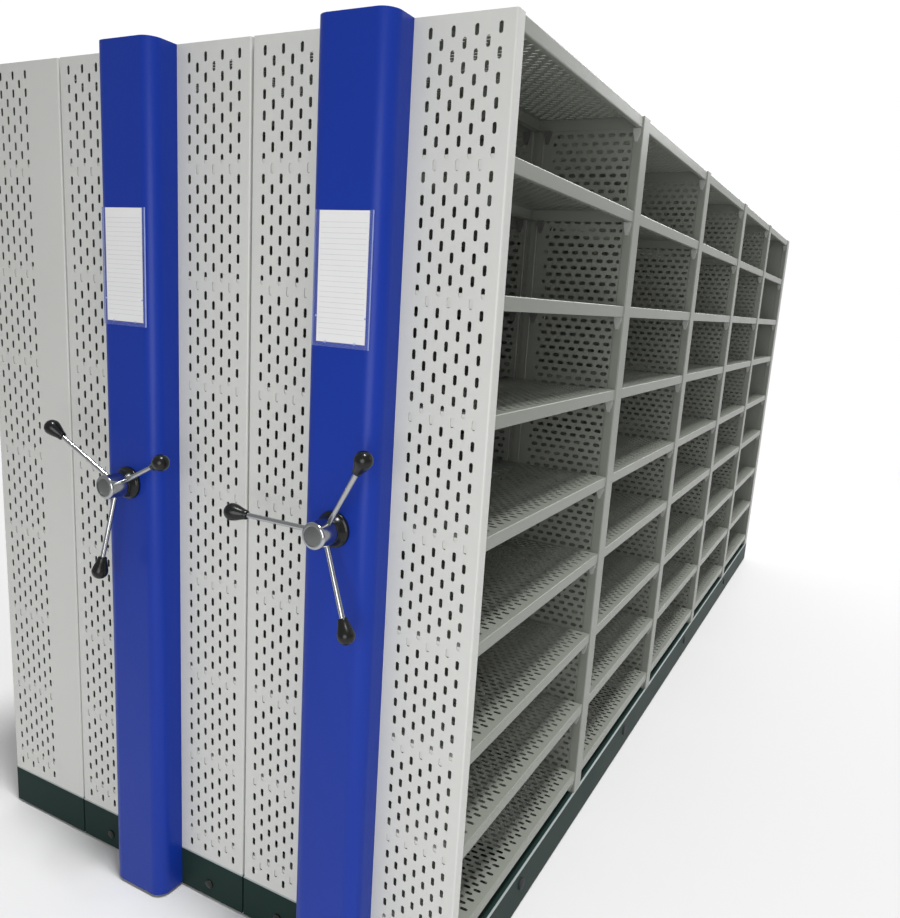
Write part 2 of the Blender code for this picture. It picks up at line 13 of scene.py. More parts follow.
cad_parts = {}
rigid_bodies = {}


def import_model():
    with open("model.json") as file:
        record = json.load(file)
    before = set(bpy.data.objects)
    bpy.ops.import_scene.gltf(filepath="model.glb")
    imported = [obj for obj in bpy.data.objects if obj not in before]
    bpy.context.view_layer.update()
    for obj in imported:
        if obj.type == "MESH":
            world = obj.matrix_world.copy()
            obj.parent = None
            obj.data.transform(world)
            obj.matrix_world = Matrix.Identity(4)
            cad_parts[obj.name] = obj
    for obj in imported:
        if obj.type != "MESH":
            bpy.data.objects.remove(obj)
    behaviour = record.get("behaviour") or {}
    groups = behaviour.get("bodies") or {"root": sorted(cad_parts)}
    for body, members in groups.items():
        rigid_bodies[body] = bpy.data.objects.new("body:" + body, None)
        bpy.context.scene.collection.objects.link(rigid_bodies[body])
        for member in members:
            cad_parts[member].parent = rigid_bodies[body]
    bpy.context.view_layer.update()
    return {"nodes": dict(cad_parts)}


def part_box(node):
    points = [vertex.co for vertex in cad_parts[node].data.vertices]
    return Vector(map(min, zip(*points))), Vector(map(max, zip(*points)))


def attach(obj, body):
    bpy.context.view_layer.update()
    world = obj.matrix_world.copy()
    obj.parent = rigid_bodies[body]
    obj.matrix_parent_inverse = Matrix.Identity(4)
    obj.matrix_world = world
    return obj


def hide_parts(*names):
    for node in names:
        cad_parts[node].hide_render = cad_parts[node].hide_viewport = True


for obj in list(bpy.data.objects):
    bpy.data.objects.remove(obj)
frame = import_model()

# Units, and the body that each one rides on
BODIES = {"static": "track", "left": "left_carriage", "right": "right_carriage"}
CARRIAGES = ("left", "right")
BAYS = range(1, 6)
RODS = range(1, 4)

# Sheet metal
SEAT_GAP = 0.0003           # between pieces that touch
SHEET = 0.0015
RACK_DEPTH = 0.3225
BASE_HEIGHT = 0.121
PANEL_RETURN = 0.032
PANEL_BEND = 0.004
POST_FACE = 0.064
POST_DEPTH = 0.030
CENTRE_POST = 0.044
POST_ROUND = 0.003
CHANNEL_LIP = 0.007         # lips of the centre posts
CHANNEL_SINK = 0.010
CHANNEL_ROUND = 0.0015
SHEET_SETBACK = 0.001       # divider sheets behind the faces of their posts
SHELF_LIP = 0.032
SHELF_INSET = 0.003
SHELF_BEND = 0.0025
BEND_FACE = 0.003           # faces narrower than this belong to a bend
SHELF_HEM = 0.014
SHELF_BACK = 0.0006         # tray's back lip from the middle of the carriage
END_GAP = 0.0005            # tray's end from the sheet before it
TOP_DROP = 0.001
TOP_COLLAR = 0.0025         # depth of the rolled slots in a top cover
BOTTOM_SHELF = 0.199
NOTCH = 0.0225
TOP_NOTCH = 80
SHELF_LEVELS = 8

# Slots: half sizes and pitches
PANEL_SLOT = (0.0046, 0.0110)
PANEL_COLUMNS = 7
PANEL_COLUMN_PITCH = 0.0258
PANEL_COLUMN_INSET = 0.034
PANEL_ROW_PITCH = 0.045
PANEL_TOP_ROW = 0.032       # below the top of the panel
PANEL_LAST_ROW = 0.030      # least distance from the bottom of the panel
TRAY_SLOT = (0.0046, 0.0100)
TRAY_COLUMN_PITCH = 0.0191
TRAY_ROW_PITCH = 0.0305
TRAY_FIRST_ROW = 0.0325     # from the open face of the rack
TRAY_ROWS = 9
TRAY_MARGIN = 0.016
WEB_SLOT = (0.0053, 0.0100)
WEB_ROW_PITCH = 0.022
WEB_COLUMN_PITCH = 0.0315
WEB_COLUMNS = 7
WEB_FIRST_COLUMNS = (0.0605, 0.0455)
WEB_SHORT_COLUMNS = (0.0360, 0.2650)
WEB_TOP_ROW = 0.049
WEB_LAST_ROW = 0.020
SLOT_ROUND = 0.9            # corner radius as a share of the slot's smaller half
SLOT_CUT = 0.6              # the same where a corner is one straight cut

# Shelf clips
CLIP_HALF = 0.010
CLIP_TIP = 0.003            # half width at the lower end
CLIP_DROP = 0.036
CLIP_TAPER = 0.011          # straight part above the taper
CLIP_REACH = 0.011
CLIP_INSET = 0.016          # from the open face of the rack
CLIP_FROM_CENTRE = 0.013    # from the side of the centre post

# Bases
EDGE_PROUD = 0.0006
EDGE_SIZE = 0.004
BUFFER_PLACES = (0.448, 1.480, 2.560, 3.690)    # from the front of the base
BUFFER_HEIGHT = 0.070       # above the underside of the base
BUFFER_RADIUS = 0.018
BUFFER_THICKNESS = 0.0052
PLUG_RADIUS = 0.013
PLUG_THICKNESS = 0.004
DISC_EDGE = 0.4             # soft edge as a share of the disc's smaller size
DISC_CORNER = 0.3           # how far that edge is cut in, as a share of it

# Drive cover and card holder
COVER_CORNER = 0.036
HOLDER_SIDE = 0.010         # clear rim beside and below the card
HOLDER_DEPTH = 0.0032
HOLDER_EDGE = 0.0009        # edges drawn pale and nearly opaque: a painted highlight along the holder
TAB_SIZE = 0.004
TAB_SHARES = (0.20, 0.80)   # tabs at the card's sides and foot, as shares of them
CARD_TOP = 0.001            # card below the top of its holder
CARD_BACK = 0.0008          # card in front of the cover
CARD_FRONT = 0.0012
RULE_FIRST = 0.024          # first rule below the top of the card
RULE_PITCH = 0.0109
RULE_COUNT = 22
RULE_INSET = 0.005
RULE_WIDTH = 0.0009
RULE_PROUD = 0.0002

# Handle
HANDLE_BORE = 0.0105
HANDLE_EDGE = 0.003
BOSS_RADIUS = 0.042
BOSS_FLANGE = 0.008
BOSS_WAIST = 0.036
BOSS_NOSE = 0.031
HUB_RADIUS = 0.031
HUB_BACK_EDGE = 0.0045
HUB_FRONT_EDGE = 0.006
HUB_CAP = 0.0230
CAP_SINK = 0.0018
CAP_RIM = 0.0008
ROD_LEAN = math.radians(11)
ROD_RADIUS = 0.006
ROD_START = 0.0285          # from where the rods' lines meet
ROD_END = 0.209
KNOB_START = 0.190
KNOB_LENGTH = 0.058
KNOB_RADIUS = 0.0203
KNOB_NECK = 0.0108
KNOB_EDGE = 0.0015

# Facets round turned pieces and folds, and the angles in degrees up to which they are shaded smooth
DISC_STEPS = 32
HUB_STEPS = 56
ROD_STEPS = 28
KNOB_STEPS = 40
KNOB_NECK_STEPS = 10
KNOB_END_STEPS = 12
HANDLE_EDGE_STEPS = 4
HUB_FRONT_STEPS = 6
COVER_STEPS = 20
PANEL_STEPS = 5
SHELF_STEPS = 3
POST_STEPS = 3
CHANNEL_STEPS = 2
EDGE_STEPS = 4
PANEL_SLOT_STEPS = 3
FINE_SLOT_STEPS = 1
FOLD_SMOOTH = 40
BUTTON_SMOOTH = 30
COVER_SMOOTH = 30
HANDLE_SMOOTH = 35
KNOB_SMOOTH = 50

# Surface grain: noise detail, spread of the wear and depth of the grain
BLOTCH_DETAIL = 6.0
SPECK_DETAIL = 2.0
WEAR = 0.15
LEAST_ROUGHNESS = 0.02
GRAIN_DEPTH = 0.001

# Lengths in pixels of the photograph's own frame, and where it was taken from
IMAGE_LONG_SIDE = 918
IMAGE_CENTRE = (450.0, 459.0)
FOCAL_PIXELS = 807.0
PRINCIPAL_POINT = (464.2, 471.6)
CAMERA_PLACE = (0.707, -1.495, 1.711)       # from the right carriage's lower right front corner
CAMERA_RIGHT = (0.8841, 0.4626, 0.0661)
CAMERA_AHEAD = (-0.4416, 0.8733, -0.2056)
SENSOR_WIDTH = 36.0         # millimetres
CLIP_END = 200.0

# Studio: lamps, the sky's strength in front of and behind the racks, and the floor
OVERHEAD_FROM = (0.24, -0.06, 1.0)
OVERHEAD_STRENGTH = 2.9
OVERHEAD_SPREAD = math.radians(10)
KEY_PLACE = (0.7, -5.0, 1.6)
KEY_TARGET = (-0.3, -2.2, 1.2)
KEY_POWER = 52
KEY_SIZE = 2.2
RIM_PLACE = (0.5, 6.5, 5.0)
RIM_TARGET = (-0.3, 0.0, 1.0)
RIM_POWER = 150
RIM_SIZE = 3.0
AISLE_PLACE = (2.4, -0.3, 2.6)
AISLE_TARGET = (-0.2, 0.9, 1.9)
AISLE_POWER = 10
AISLE_SIZE = 0.9
SKY_HEADING = (-0.454, 0.891, 0)
SKY_TURN = (0.55, 0.80)     # where the sky goes from front to back, along its heading
SKY_FRONT = 0.36
SKY_BACK = 1.02
FLOOR_OVER_RAIL = 0.0004
FLOOR_REACH = 12.0
FLOOR_FADE = (3.5, 9.0)


# Meshes from points and faces

class Shape:
    """Points and faces gathered into one mesh."""

    def __init__(self):
        self.points = []
        self.faces = []

    def add(self, points, faces, matrix=None):
        points = np.array(points, float)
        if matrix is not None:
            grid = np.array(matrix)
            points = points @ grid[:3, :3].T + grid[:3, 3]
            if matrix.determinant() < 0:
                faces = [face[::-1] for face in faces]
        start = len(self.points)
        self.points += points.tolist()
        self.faces += [tuple(start + n for n in face) for face in faces]
        return self

    def join(self, other, matrix=None):
        return self.add(other.points, other.faces, matrix)

    def mesh(self, name, smooth_angle=None, flat_over=None):
        """One mesh, shaded smooth up to an angle, where faces with no side under flat_over stay flat."""
        mesh = bpy.data.meshes.new(name)
        mesh.from_pydata(self.points, [], self.faces)
        if smooth_angle is not None:
            mesh.shade_smooth()
            mesh.set_sharp_from_angle(angle=math.radians(smooth_angle))
        if flat_over is not None:
            points = np.array(self.points)
            sides = [points[list(face)] - points[list(face[1:] + face[:1])] for face in self.faces]
            narrow = [bool((np.square(side).sum(axis=1) < flat_over ** 2).any()) for side in sides]
            mesh.polygons.foreach_set("use_smooth", narrow)
        mesh.update()
        return mesh


def axes(x, y, z, origin=(0, 0, 0)):
    """A matrix whose columns are the new X, Y and Z directions and the origin."""
    matrix = Matrix((x, y, z)).transposed().to_4x4()
    matrix.translation = origin
    return matrix


def moved(x=0.0, y=0.0, z=0.0):
    return Matrix.Translation((x, y, z))


# A flat outline in (X, Z), raised along Y
UPRIGHT = axes((1, 0, 0), (0, 0, 1), (0, 1, 0))


def box(shape, low, high):
    x0, y0, z0 = low
    x1, y1, z1 = high
    prism(shape, [(x0, y0), (x1, y0), (x1, y1), (x0, y1)], z0, z1)


def prism(shape, outline, low, high, matrix=None):
    """A flat outline in X and Y, counter-clockwise, raised from z low to z high."""
    count = len(outline)
    points = [(x, y, z) for z in (low, high) for x, y in outline]
    faces = [tuple(reversed(range(count))), tuple(range(count, 2 * count))]
    for n in range(count):
        after = (n + 1) % count
        faces.append((n, after, count + after, count + n))
    shape.add(points, faces, matrix)


def lathe(profile, steps, matrix=None):
    """Points (radius, height), up the outer side, turned about Z. Ends at radius 0 close to a point."""
    points = []
    rings = []
    for radius, height in profile:
        count = steps if radius > 1e-9 else 1
        rings.append(range(len(points), len(points) + count))
        for n in range(count):
            angle = n / steps * math.tau
            points.append((radius * math.cos(angle), radius * math.sin(angle), height))
    faces = []
    for lower, upper in zip(rings, rings[1:]):
        for n in range(steps):
            after = (n + 1) % steps
            corners = [lower[n % len(lower)], lower[after % len(lower)],
                       upper[after % len(upper)], upper[n % len(upper)]]
            faces.append(tuple(dict.fromkeys(corners)))
    return Shape().add(points, [face for face in faces if len(face) > 2], matrix)


def filleted(corners, steps):
    """A closed outline from corners (x, y, radius), each rounded to its radius."""
    outline = []
    for n, (x, y, radius) in enumerate(corners):
        here = Vector((x, y))
        if radius <= 0:
            outline.append((x, y))
            continue
        before = (Vector(corners[n - 1][:2]) - here).normalized()
        after = (Vector(corners[(n + 1) % len(corners)][:2]) - here).normalized()
        half = before.angle(after) / 2
        centre = here + (before + after).normalized() * radius / math.sin(half)
        start = here + before * radius / math.tan(half) - centre
        end = here + after * radius / math.tan(half) - centre
        sweep = start.angle_signed(end)
        for k in range(steps + 1):
            angle = math.atan2(start.y, start.x) - sweep * k / steps
            outline.append((centre.x + radius * math.cos(angle), centre.y + radius * math.sin(angle)))
    return outline


# Perforated sheets

def slot_outline(half_u, half_v, steps):
    """A slot with round corners about (0, 0), counter-clockwise, in four equal runs, one to a corner."""
    radius = (SLOT_ROUND if steps > 1 else SLOT_CUT) * min(half_u, half_v)
    outline = []
    for quarter, (su, sv) in enumerate(((1, 1), (-1, 1), (-1, -1), (1, -1))):
        for n in range(steps + 1):
            angle = (quarter + n / steps) * math.pi / 2
            outline.append((su * (half_u - radius) + radius * math.cos(angle),
                            sv * (half_v - radius) + radius * math.sin(angle)))
    return outline


def slotted_cell(low, high, centre, half_u, half_v, steps):
    """A rectangle with one slot in it: flat points, the faces round the slot, and the slot's edge."""
    points = [(high[0], high[1]), (low[0], high[1]), (low[0], low[1]), (high[0], low[1])]
    points += [(centre[0] + u, centre[1] + v) for u, v in slot_outline(half_u, half_v, steps)]
    run = steps + 1
    faces = []
    for corner in range(4):
        first = 4 + corner * run
        faces += [(corner, first + n + 1, first + n) for n in range(steps)]
        after = (corner + 1) % 4
        faces.append((corner, after, 4 + after * run, first + steps))
    return points, faces, range(4, 4 + 4 * run)


def perforated(width, height, columns, steps, thickness=0.0):
    """A sheet from (0, 0) to (width, height), facing +Z, with slots in it.

    The slots come in columns (u, half_u, [(v, half_v), ...]). A sheet with a thickness has a second face
    below the first, and walls in its slots.
    """
    shape = Shape()
    across = [column[0] for column in columns]
    edges = [0.0, *[(a + b) / 2 for a, b in zip(across, across[1:])], width]
    for left, right, (u, half_u, slots) in zip(edges, edges[1:], columns):
        along = [v for v, _ in slots]
        bounds = [0.0, *[(a + b) / 2 for a, b in zip(along, along[1:])], height]
        for low, high, (v, half_v) in zip(bounds, bounds[1:], slots):
            flat, faces, rim = slotted_cell((left, low), (right, high), (u, v), half_u, half_v, steps)
            points = [(x, y, 0.0) for x, y in flat]
            if thickness:
                count = len(points)
                points += [(x, y, -thickness) for x, y in flat]
                walls = [(a, b, count + b, count + a) for a, b in zip(rim, [*rim[1:], rim[0]])]
                faces = faces + [tuple(count + n for n in face[::-1]) for face in faces] + walls
            shape.add(points, faces)
    return shape


# Materials

def new_material(name):
    material = bpy.data.materials.new(name)
    material.use_nodes = True
    return material, material.node_tree.nodes, material.node_tree.links


def ramp(nodes, links, source, low, high, start, end):
    """A smooth step of a value from start to end as the source goes from low to high."""
    step = nodes.new("ShaderNodeMapRange")
    step.interpolation_type = "SMOOTHSTEP"
    for socket, value in (("From Min", low), ("From Max", high), ("To Min", start), ("To Max", end)):
        step.inputs[socket].default_value = value
    links.new(source, step.inputs["Value"])
    return step.outputs["Result"]


def fade_out(material, near, far):
    """Lets a surface fade to nothing between two distances from its own origin."""
    nodes = material.node_tree.nodes
    links = material.node_tree.links
    where = nodes.new("ShaderNodeTexCoord")
    distance = nodes.new("ShaderNodeVectorMath")
    distance.operation = "LENGTH"
    links.new(where.outputs["Object"], distance.inputs[0])
    links.new(ramp(nodes, links, distance.outputs["Value"], near, far, 1.0, 0.0),
              nodes["Principled BSDF"].inputs["Alpha"])


def finish(name, colour, roughness, metallic=0.0, mottle=0.08, mottle_scale=3.0, grain=0.05,
           grain_scale=400.0, stretch=(1, 1, 1), shine=0.5, alpha=1.0):
    """A surface with soft blotches of tone and wear, and a fine grain that tilts its normal."""
    material, nodes, links = new_material(name)
    shader = nodes["Principled BSDF"]
    shader.inputs["Metallic"].default_value = metallic
    shader.inputs["Specular IOR Level"].default_value = shine
    shader.inputs["Alpha"].default_value = alpha
    where = nodes.new("ShaderNodeTexCoord")
    mapping = nodes.new("ShaderNodeMapping")
    mapping.inputs["Scale"].default_value = stretch
    links.new(where.outputs["Object"], mapping.inputs["Vector"])
    blotch = nodes.new("ShaderNodeTexNoise")
    blotch.inputs["Scale"].default_value = mottle_scale
    blotch.inputs["Detail"].default_value = BLOTCH_DETAIL
    links.new(mapping.outputs["Vector"], blotch.inputs["Vector"])
    tone = nodes.new("ShaderNodeMix")
    tone.data_type = "RGBA"
    tone.inputs["A"].default_value = (*[c * (1 - mottle) for c in colour], 1)
    tone.inputs["B"].default_value = (*[min(1.0, c * (1 + mottle)) for c in colour], 1)
    links.new(blotch.outputs["Fac"], tone.inputs["Factor"])
    links.new(tone.outputs["Result"], shader.inputs["Base Color"])
    wear = nodes.new("ShaderNodeMapRange")
    wear.inputs["To Min"].default_value = max(LEAST_ROUGHNESS, roughness * (1 - WEAR))
    wear.inputs["To Max"].default_value = min(1.0, roughness * (1 + WEAR))
    links.new(blotch.outputs["Fac"], wear.inputs["Value"])
    links.new(wear.outputs["Result"], shader.inputs["Roughness"])
    speck = nodes.new("ShaderNodeTexNoise")
    speck.inputs["Scale"].default_value = grain_scale
    speck.inputs["Detail"].default_value = SPECK_DETAIL
    links.new(mapping.outputs["Vector"], speck.inputs["Vector"])
    bump = nodes.new("ShaderNodeBump")
    bump.inputs["Strength"].default_value = grain
    bump.inputs["Distance"].default_value = GRAIN_DEPTH
    links.new(speck.outputs["Fac"], bump.inputs["Height"])
    links.new(bump.outputs["Normal"], shader.inputs["Normal"])
    return material


grey_paint = finish("grey_paint", (0.56, 0.565, 0.54), 0.42, mottle=0.03, grain=0.06, grain_scale=500)
# The trays, dividers and posts take the panels' grey paint made darker: painted shade inside the racks
shaded_rack_paint = finish("shaded_rack_paint", (0.205, 0.216, 0.189), 0.32, mottle=0.04, grain=0.06, grain_scale=500)
clip_paint = finish("clip_paint", (0.37, 0.38, 0.36), 0.35, mottle=0.05, grain=0.06, grain_scale=500)
blue_paint = finish("blue_paint", (0.006, 0.030, 0.28), 0.38, mottle=0.06, grain=0.30, grain_scale=120,
                    shine=0.20)
base_paint = finish("base_paint", (0.015, 0.031, 0.027), 0.45, mottle=0.15, grain=0.10, grain_scale=300,
                    shine=0.04)
# A pale paint for the rolled edge of the bases: a painted highlight along their top edges
edge_highlight_paint = finish("edge_highlight_paint", (0.30, 0.34, 0.34), 0.30, mottle=0.20, grain=0.05)
steel = finish("steel", (0.50, 0.50, 0.51), 0.35, 1.0, grain=0.08, stretch=(1, 0.05, 1))
dark_steel = finish("dark_steel", (0.10, 0.10, 0.10), 0.45, 1.0, mottle=0.2, grain=0.15)
chrome = finish("chrome", (0.42, 0.43, 0.44), 0.18, 1.0, mottle=0.06, mottle_scale=30, grain=0.02)
cap_metal = finish("cap_metal", (0.16, 0.17, 0.165), 0.38, 0.8, mottle=0.08, mottle_scale=40, grain=0.05)
black_plastic = finish("black_plastic", (0.006, 0.007, 0.006), 0.24, mottle=0.2, mottle_scale=20,
                       grain=0.04, shine=0.3)
rubber = finish("rubber", (0.008, 0.009, 0.012), 0.70, mottle=0.25, mottle_scale=40, grain=0.2)
# A dark zinc for the inner clips, darkened as painted shade by the centre post
shaded_zinc = finish("shaded_zinc", (0.16, 0.16, 0.15), 0.45, 0.5, mottle=0.2, mottle_scale=60, grain=0.1)
paper = finish("paper", (0.70, 0.70, 0.70), 0.80, mottle=0.02, mottle_scale=12, grain=0.05, grain_scale=900)
ink = finish("ink", (0.52, 0.53, 0.54), 0.80, mottle=0.15, mottle_scale=30, grain=0.03)
clear_plastic = finish("clear_plastic", (0.45, 0.50, 0.85), 0.10, mottle=0.05, grain=0.02, alpha=0.08)
# Nearly opaque pale plastic for the holder's tabs, and for its edges, where it is a painted highlight
tab_and_highlight_plastic = finish("tab_and_highlight_plastic", (0.34, 0.42, 0.76), 0.15, mottle=0.20, mottle_scale=25, grain=0.02,
                    alpha=0.85)
floor_paint = finish("floor_paint", (0.62, 0.62, 0.62), 0.70, mottle=0.01, mottle_scale=0.6, grain=0.02,
                     shine=0.2)
fade_out(floor_paint, *FLOOR_FADE)

for name, node in frame["nodes"].items():
    look = dark_steel if name.endswith("_chain") else steel
    node.data.materials.clear()
    node.data.materials.append(look)


def piece(name, mesh, material, body, place=None, stands_for=()):
    """A piece of the visual model on its body, in place of the CAD nodes that it stands for."""
    if not mesh.materials:
        mesh.materials.append(material)
    made = bpy.data.objects.new(name, mesh)
    bpy.context.scene.collection.objects.link(made)
    made.matrix_world = place or Matrix.Identity(4)
    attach(made, body)
    if stands_for:
        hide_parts(*stands_for)
    return made


# End panels

def panel_columns(width, sides):
    """Columns of slots, counted in from the outer edges that have them."""
    insets = [PANEL_COLUMN_INSET + n * PANEL_COLUMN_PITCH for n in range(PANEL_COLUMNS)]
    columns = []
    if "left" in sides:
        columns += [(inset, n % 2) for n, inset in enumerate(insets)]
    if "right" in sides:
        columns += [(width - inset, n % 2) for n, inset in reversed(list(enumerate(insets)))]
    return columns


def panel_shape(width, height, sides):
    """An end panel from (0, 0, 0) to its width and height, its face at y = 0 and its returns towards +Y."""
    shape = Shape()
    strip = 2 * PANEL_BEND
    columns = []
    for x, odd in panel_columns(width, sides):
        top = height - PANEL_TOP_ROW - odd * PANEL_ROW_PITCH / 2
        count = int((top - PANEL_LAST_ROW) / PANEL_ROW_PITCH) + 1
        rows = [top - n * PANEL_ROW_PITCH for n in reversed(range(count))]
        columns.append((x - strip, PANEL_SLOT[0], [(z, PANEL_SLOT[1]) for z in rows]))
    sheet = perforated(width - 2 * strip, height, columns, PANEL_SLOT_STEPS, SHEET)
    shape.join(sheet, axes((1, 0, 0), (0, 0, 1), (0, -1, 0), (strip, 0, 0)))
    corners = [(0, PANEL_RETURN, 0), (0, 0, PANEL_BEND), (strip, 0, 0), (strip, SHEET, 0),
               (SHEET, SHEET, PANEL_BEND - SHEET), (SHEET, PANEL_RETURN, 0)]
    fold = filleted(corners, PANEL_STEPS)
    prism(shape, fold, 0, height)
    prism(shape, [(width - x, y) for x, y in fold[::-1]], 0, height)
    box(shape, (SHEET, SHEET, height - SHEET), (width - SHEET, PANEL_RETURN, height))
    box(shape, (SHEET, SHEET, 0), (width - SHEET, PANEL_RETURN - SHEET, SHEET))
    return shape


def build_panels(unit):
    low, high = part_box(f"{unit}_front_panel")
    width = high.x - low.x
    height = high.z - low.z
    sides = ("left",) if unit == "static" else ("left", "right")
    mesh = panel_shape(width, height, sides).mesh(f"{unit}_panel", FOLD_SMOOTH, BEND_FACE)
    rear_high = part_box(f"{unit}_rear_panel")[1]
    turned = axes((-1, 0, 0), (0, -1, 0), (0, 0, 1), (high.x, rear_high.y, low.z))
    piece(f"{unit}_front_panel_sheet", mesh, grey_paint, BODIES[unit], moved(*low),
          [f"{unit}_front_panel"])
    piece(f"{unit}_rear_panel_sheet", mesh, grey_paint, BODIES[unit], turned,
          [f"{unit}_rear_panel"])


# Bays: trays and a divider

def shelf_tops():
    """Tops of the trays above the underside of the base."""
    return [BOTTOM_SHELF + NOTCH * (TOP_NOTCH * k // (SHELF_LEVELS - 1)) for k in range(SHELF_LEVELS)]


def tray_shape(length, depth, thickness=0.0):
    """One rack's tray, from y = 0 to its length and from x = -depth to its open face at 0, top at z = 0."""
    shape = Shape()
    count = int((length - 2 * TRAY_MARGIN) / TRAY_COLUMN_PITCH) + 1
    first = (length - (count - 1) * TRAY_COLUMN_PITCH) / 2
    front = SHELF_INSET + SHELF_HEM
    back = depth - SHELF_BACK - SHELF_HEM
    columns = []
    for n in range(count):
        start = TRAY_FIRST_ROW + n % 2 * TRAY_ROW_PITCH / 2 - front
        rows = [(start + k * TRAY_ROW_PITCH, TRAY_SLOT[1]) for k in range(TRAY_ROWS)]
        columns.append((first + n * TRAY_COLUMN_PITCH, TRAY_SLOT[0], rows))
    plate = perforated(length, back - front, columns, FINE_SLOT_STEPS, thickness)
    shape.join(plate, axes((0, 1, 0), (-1, 0, 0), (0, 0, 1), (-front, 0, 0)))
    inner = SHELF_BEND - SHEET
    corners = [(SHELF_HEM, 0, 0), (0, 0, SHELF_BEND), (0, -SHELF_LIP, SHELF_BEND),
               (SHELF_HEM, -SHELF_LIP, 0), (SHELF_HEM, SHEET - SHELF_LIP, 0),
               (SHEET, SHEET - SHELF_LIP, inner), (SHEET, -SHEET, inner), (SHELF_HEM, -SHEET, 0)]
    lip = filleted(corners, SHELF_STEPS)
    prism(shape, [(-SHELF_INSET - x, z) for x, z in lip[::-1]], 0, length, UPRIGHT)
    prism(shape, [(SHELF_BACK - depth + x, z) for x, z in lip], 0, length, UPRIGHT)
    end_low = -depth + SHELF_BACK + SHEET
    end_high = -SHELF_INSET - SHEET
    for start in (0.0, length - SHEET):
        box(shape, (end_low, start, -SHELF_LIP), (end_high, start + SHEET, -SHEET))
    return shape


def web_shape(depth, height):
    """One rack's half of a divider sheet in X and Z, its open face at x = 0, with rows of slots along X."""
    count = int((height - WEB_TOP_ROW - WEB_LAST_ROW) / WEB_ROW_PITCH) + 1
    columns = []
    for n in reversed(range(count)):
        odd = n % 2
        slots = [(WEB_FIRST_COLUMNS[odd] + k * WEB_COLUMN_PITCH, WEB_SLOT[1]) for k in range(WEB_COLUMNS)]
        slots.append((WEB_SHORT_COLUMNS[odd], WEB_SLOT[0]))
        slots = sorted((d - POST_DEPTH / 2, half) for d, half in slots)
        columns.append((height - WEB_TOP_ROW - n * WEB_ROW_PITCH, WEB_SLOT[0], slots))
    sheet = perforated(height, depth - POST_DEPTH / 2, columns, FINE_SLOT_STEPS)
    return Shape().join(sheet, axes((0, 0, 1), (-1, 0, 0), (0, -1, 0), (-POST_DEPTH / 2, 0, 0)))


def post(shape, x_low, x_high, height):
    """An upright with round edges, as deep as a divider."""
    half = POST_FACE / 2
    corners = [(x_low, -half, POST_ROUND), (x_high, -half, POST_ROUND), (x_high, half, POST_ROUND),
               (x_low, half, POST_ROUND)]
    prism(shape, filleted(corners, POST_STEPS), 0, height)


def centre_post(shape, height):
    """The upright between two racks: a channel on each side of the divider, its lips standing out."""
    half = CENTRE_POST / 2
    near = -POST_FACE / 2
    inside = half - CHANNEL_LIP
    web = near + CHANNEL_SINK
    back = near + 2 * CHANNEL_SINK
    corners = [(-half, near, CHANNEL_ROUND), (-inside, near, CHANNEL_ROUND), (-inside, web, 0),
               (inside, web, 0), (inside, near, CHANNEL_ROUND), (half, near, CHANNEL_ROUND),
               (half, back, 0), (-half, back, 0)]
    outline = filleted(corners, CHANNEL_STEPS)
    prism(shape, outline, 0, height)
    prism(shape, [(x, -y) for x, y in outline[::-1]], 0, height)


def plain_web(shape, middle, near, height):
    """The unpierced sheet of a divider that an end panel covers."""
    reach = (RACK_DEPTH - POST_DEPTH) / 2
    box(shape, (middle - reach, near, 0), (middle + reach, near + SHEET, height))


def tray_ends(shape, middle, start, tops):
    """Plain ends of the trays, run into the divider before them."""
    reach = RACK_DEPTH / 2 - POST_DEPTH
    end = start - POST_FACE + SHEET_SETBACK + 2 * SHEET + END_GAP
    for top in tops:
        box(shape, (middle - reach, end, top - 2 * SHEET), (middle + reach, start, top - SHEET))


def panel_flanges(racks, start, tops):
    """The first bay's tray ends: a plate into the front panel and a flange close behind its sheet."""
    shape = Shape()
    reach = RACK_DEPTH * racks / 2 - SHELF_INSET
    end = start - PANEL_RETURN + SHEET + END_GAP
    for top in tops:
        box(shape, (-reach, end, top - 2 * SHEET), (reach, start, top - SHEET))
        box(shape, (-reach, end, top - SHELF_LIP), (reach, end + SHEET, top - 2 * SHEET))
    return shape


def bay_shape(racks, start, height, tops, first, last):
    """The trays of one bay and the divider at its far end, about the middle of the divider's foot."""
    shape = Shape()
    half = RACK_DEPTH * racks / 2
    near = -POST_FACE / 2
    length = near - SEAT_GAP - start
    top_cover = height - TOP_DROP
    trays = {top: tray_shape(length, RACK_DEPTH) for top in tops}
    trays[top_cover] = tray_shape(length, RACK_DEPTH, TOP_COLLAR)
    for face in (1, -1) if racks > 1 else (1,):
        side = axes((face, 0, 0), (0, 1, 0), (0, 0, 1), (face * half, 0, 0))
        for top, tray in trays.items():
            shape.join(tray, side @ moved(0, start, top))
    for rack in range(racks):
        middle = half - (rack + 0.5) * RACK_DEPTH
        if last:
            plain_web(shape, middle, near + SHEET_SETBACK, height - TOP_DROP - SHEET)
        else:
            shape.join(web_shape(RACK_DEPTH, height), moved(middle + RACK_DEPTH / 2, near + SHEET_SETBACK))
        if not first:
            tray_ends(shape, middle, start, tops)
    if racks == 1:
        back = SHELF_INSET - half
        box(shape, (back - SHEET, start, 0), (back, near, top_cover - SHEET))
    post(shape, half - POST_DEPTH, half, height)
    post(shape, -half, POST_DEPTH - half, height)
    if racks > 1:
        centre_post(shape, height)
    cap = half - POST_ROUND
    box(shape, (-cap, near + POST_ROUND, top_cover - SHEET), (cap, -near - POST_ROUND, top_cover))
    return shape


def clip(shape, x, y, z, out):
    """A bracket under the end of a tray, on the face of a post and pointing out along Y."""
    outline = [(-CLIP_TIP, -CLIP_DROP), (CLIP_TIP, -CLIP_DROP), (CLIP_HALF, -CLIP_TAPER), (CLIP_HALF, 0),
               (-CLIP_HALF, 0), (-CLIP_HALF, -CLIP_TAPER)]
    prism(shape, outline, 0, CLIP_REACH, axes((1, 0, 0), (0, 0, 1), (0, out, 0), (x, y, z)))


